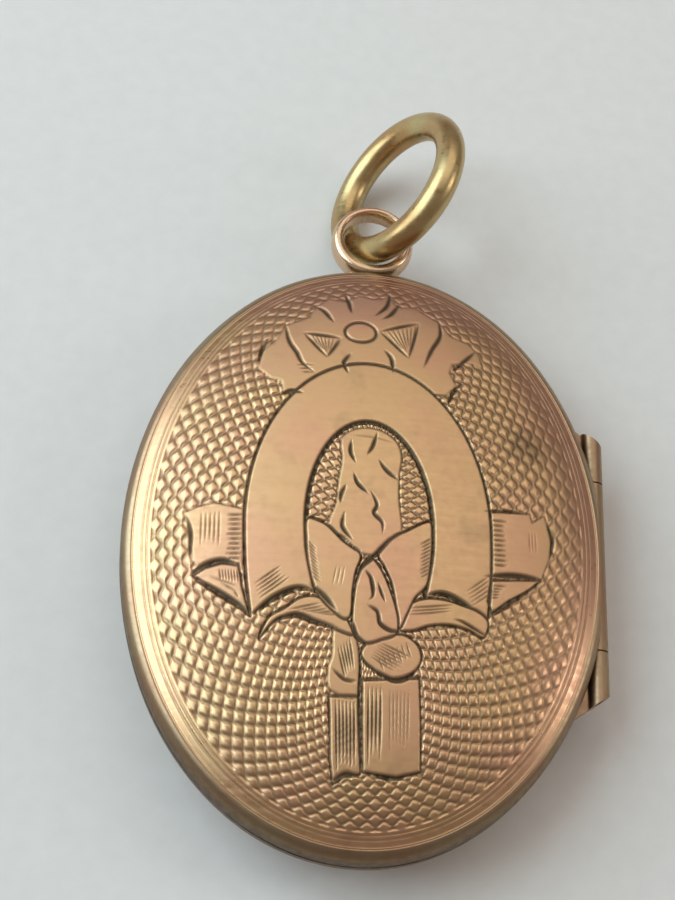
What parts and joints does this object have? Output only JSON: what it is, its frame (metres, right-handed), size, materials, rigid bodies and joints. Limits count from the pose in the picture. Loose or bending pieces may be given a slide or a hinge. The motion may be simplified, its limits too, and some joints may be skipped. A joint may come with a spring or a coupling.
{
  "type": "oval hinged locket",
  "caption": "Oval engine-turned locket with two hinged domed halves, glazed picture frames inside, a bail loop and a jump ring.",
  "frame": {"origin": "bottom centre of the whole object's box, locket lying on its back cover", "axes": "+Z out of the front cover, +Y from the case towards the bail, +X towards the hinge"},
  "size_m": [0.0254, 0.0436, 0.0084],
  "materials": {
    "case_gold": "worn polished rose gold over base metal, engine turned",
    "inner_gold": "polished yellow gold",
    "ring_brass": "lightly tarnished round wire",
    "crystal_glass": "clear thin crystal",
    "picture_card": "blank aged card"
  },
  "bodies": {
    "back_half": {"back_cover": "case_gold", "back_rim": "case_gold", "back_liner": "inner_gold", "back_backing_plate": "inner_gold", "back_picture_card": "picture_card", "back_crystal": "crystal_glass", "back_bezel": "inner_gold", "closing_lip": "inner_gold", "upper_hinge_knuckle": "case_gold", "lower_hinge_knuckle": "case_gold", "hinge_pin": "case_gold", "bail_loop": "case_gold"},
    "front_half": {"front_cover": "case_gold", "front_rim": "case_gold", "front_liner": "inner_gold", "front_backing_plate": "inner_gold", "front_picture_card": "picture_card", "front_crystal": "crystal_glass", "front_bezel": "inner_gold", "front_hinge_knuckle": "case_gold"},
    "jump_ring": {"jump_ring": "ring_brass"}
  },
  "joints": [
    {"name": "lid_hinge", "type": "hinge", "parent": "back_half", "child": "front_half", "pos_m": [0.01213, -0.00542, 0.0033], "axis": [0, 1, 0], "range_deg": [0, 165]},
    {"name": "ring_swing", "type": "hinge", "parent": "back_half", "child": "jump_ring", "pos_m": [-0.00038, 0.01358, 0.0031], "axis": [0, 0, 1], "range_deg": [-45, 90]}
  ]
}
